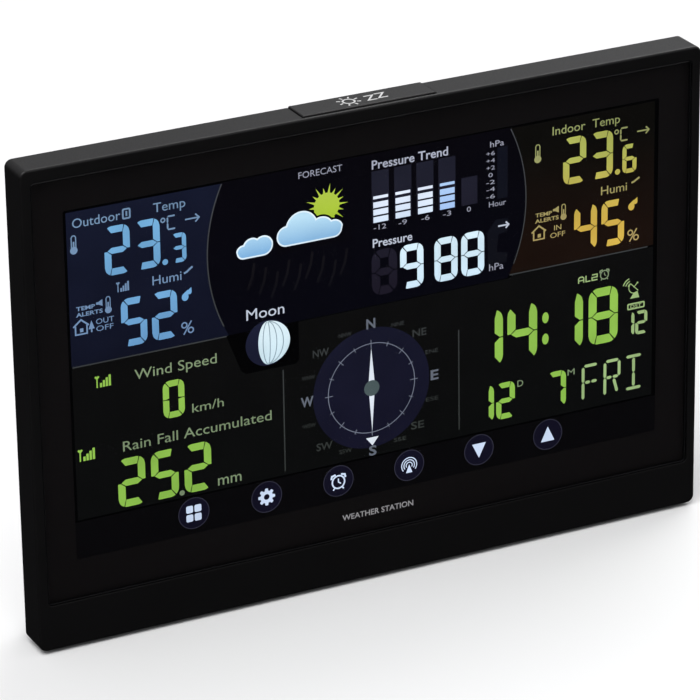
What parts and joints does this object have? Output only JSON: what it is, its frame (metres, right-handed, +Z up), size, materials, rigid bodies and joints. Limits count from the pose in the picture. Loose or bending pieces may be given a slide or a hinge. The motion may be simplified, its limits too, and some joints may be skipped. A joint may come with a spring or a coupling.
{
  "type": "home weather station console",
  "caption": "Black desk console of a home weather station: smoked lens over a colour display, touch keys, top snooze bar, swing-out foot and sliding battery door.",
  "frame": {"origin": "on the desk, under the middle of the whole object with its foot open", "axes": "+X to the right as seen from the front, +Y to the back, +Z up"},
  "size_m": [0.2, 0.076, 0.1374],
  "materials": {
    "frame_plastic": "fine satin, moulded black",
    "cover_plastic": "fine spark-eroded grain, moulded black",
    "bar_plastic": "fine satin, moulded black, printed marks",
    "smoked_lens": "smoked acrylic, polished, masked round the display",
    "adhesive": "black foam tape",
    "display_glass": "dark display cell",
    "white_plastic": "white, plain",
    "white_sheet": "white film",
    "clear_acrylic": "clear, polished",
    "led_board": "LED body",
    "elastomer": "layered silicone",
    "circuit_board": "green solder mask",
    "chip_plastic": "black moulding compound",
    "spring_steel": "nickel plated",
    "screw_steel": "zinc plated",
    "black_screw": "black oxide",
    "shield_can": "tinned steel",
    "copper_wire": "enamelled copper",
    "ferrite": "sintered, dark grey",
    "flat_cable": "white film with printed tracks",
    "switch_yellow": "moulded",
    "cell_jacket": "plain shrink sleeve",
    "pad_rubber": "matt"
  },
  "bodies": {
    "console": {"front_frame": "frame_plastic", "display_lens": "smoked_lens", "lens_gasket": "adhesive", "lcd_panel": "display_glass", "lcd_holder": "white_plastic", "diffuser_sheet": "white_sheet", "light_guide": "clear_acrylic", "reflector_sheet": "white_sheet", "backlight_bars": "led_board", "lcd_connector": "elastomer", "touch_board": "circuit_board", "touch_springs": "spring_steel", "key_shrouds": "white_plastic", "key_leds": "led_board", "touch_ribbon": "flat_cable", "main_board": "circuit_board", "control_chips": "chip_plastic", "board_parts": "chip_plastic", "board_screws": "screw_steel", "radio_module": "shield_can", "radio_antenna": "copper_wire", "time_ferrite": "ferrite", "time_coil": "copper_wire", "pressure_sensor": "shield_can", "climate_sensor": "white_plastic", "buzzer": "chip_plastic", "dc_jack": "chip_plastic", "snooze_switch": "chip_plastic", "rear_cover": "cover_plastic", "aaa_cells": "cell_jacket", "cell_springs": "spring_steel", "cell_plates": "spring_steel", "foot_pins": "screw_steel", "case_pads": "pad_rubber", "case_screws": "black_screw"},
    "snooze_bar": {"snooze_bar": "bar_plastic"},
    "switch_plunger": {"switch_plunger": "switch_yellow"},
    "battery_door": {"battery_door": "cover_plastic"},
    "foot": {"foot": "cover_plastic", "foot_pads": "pad_rubber"}
  },
  "joints": [
    {"name": "bar_press", "type": "slide", "parent": "console", "child": "snooze_bar", "axis": [0, 0, -1], "range_m": [0, 0.0004], "stiffness_N_per_m": 800, "springref_m": -0.001},
    {"name": "plunger_press", "type": "slide", "parent": "console", "child": "switch_plunger", "axis": [0, 0, -1], "range_m": [0, 0.0004]},
    {"name": "door_slide", "type": "slide", "parent": "console", "child": "battery_door", "axis": [1, 0, 0], "range_m": [0, 0.062]},
    {"name": "foot_hinge", "type": "hinge", "parent": "console", "child": "foot", "pos_m": [0, -0.0187, 0.005], "axis": [1, 0, 0], "range_deg": [0, 90]}
  ],
  "couplings": [
    {"joint": "plunger_press", "follows": "bar_press", "ratio": 1}
  ]
}
